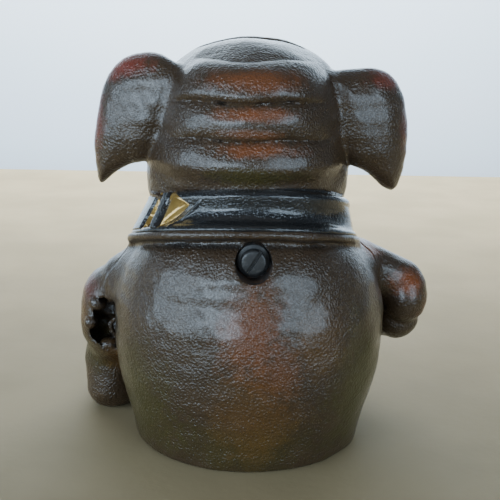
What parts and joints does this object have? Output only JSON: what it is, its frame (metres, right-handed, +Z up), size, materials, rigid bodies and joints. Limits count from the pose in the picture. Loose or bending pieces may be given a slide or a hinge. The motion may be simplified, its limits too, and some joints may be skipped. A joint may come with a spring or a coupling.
{
  "type": "cast iron still bank",
  "caption": "Seated hound coin bank in painted cast iron: two hollow halves with a coin slot in the crown, clamped by one long slotted screw.",
  "frame": {"origin": "on the floor under the figure, on the axis of the round base", "axes": "+Z up, the dog faces -Y, its left side is +X; the screw runs along Y and enters from the back"},
  "size_m": [0.1264, 0.1169, 0.139],
  "materials": {
    "lacquered_iron": "dark brown gloss lacquer with airbrushed rust orange and olive over a fine sand-cast texture",
    "collar_black": "gloss black enamel on the collar",
    "stud_gold": "gold enamel on the facet of the collar plate",
    "bare_iron": "unpainted rough casting inside the halves",
    "black_steel": "blackened steel, satin",
    "plain_steel": "dull plain steel"
  },
  "bodies": {
    "rear_half": {"rear_casting": "lacquered_iron"},
    "front_half": {"front_casting": "lacquered_iron", "square_nut": "plain_steel"},
    "washer": {"screw_washer": "black_steel"},
    "screw": {"assembly_screw": "black_steel"}
  },
  "joints": [
    {"name": "front_slide", "type": "slide", "parent": "rear_half", "child": "front_half", "axis": [0, -1, 0], "range_m": [0, 0.08]},
    {"name": "screw_travel", "type": "slide", "parent": "rear_half", "child": "washer", "axis": [0, 1, 0], "range_m": [0, 0.0127]},
    {"name": "screw_turn", "type": "hinge", "parent": "washer", "child": "screw", "pos_m": [0, 0.036, 0.0705], "axis": [0, 1, 0], "range_deg": [0, 4320]}
  ],
  "couplings": [
    {"joint": "screw_turn", "follows": "screw_travel", "rad_per_m": 5936.9}
  ]
}
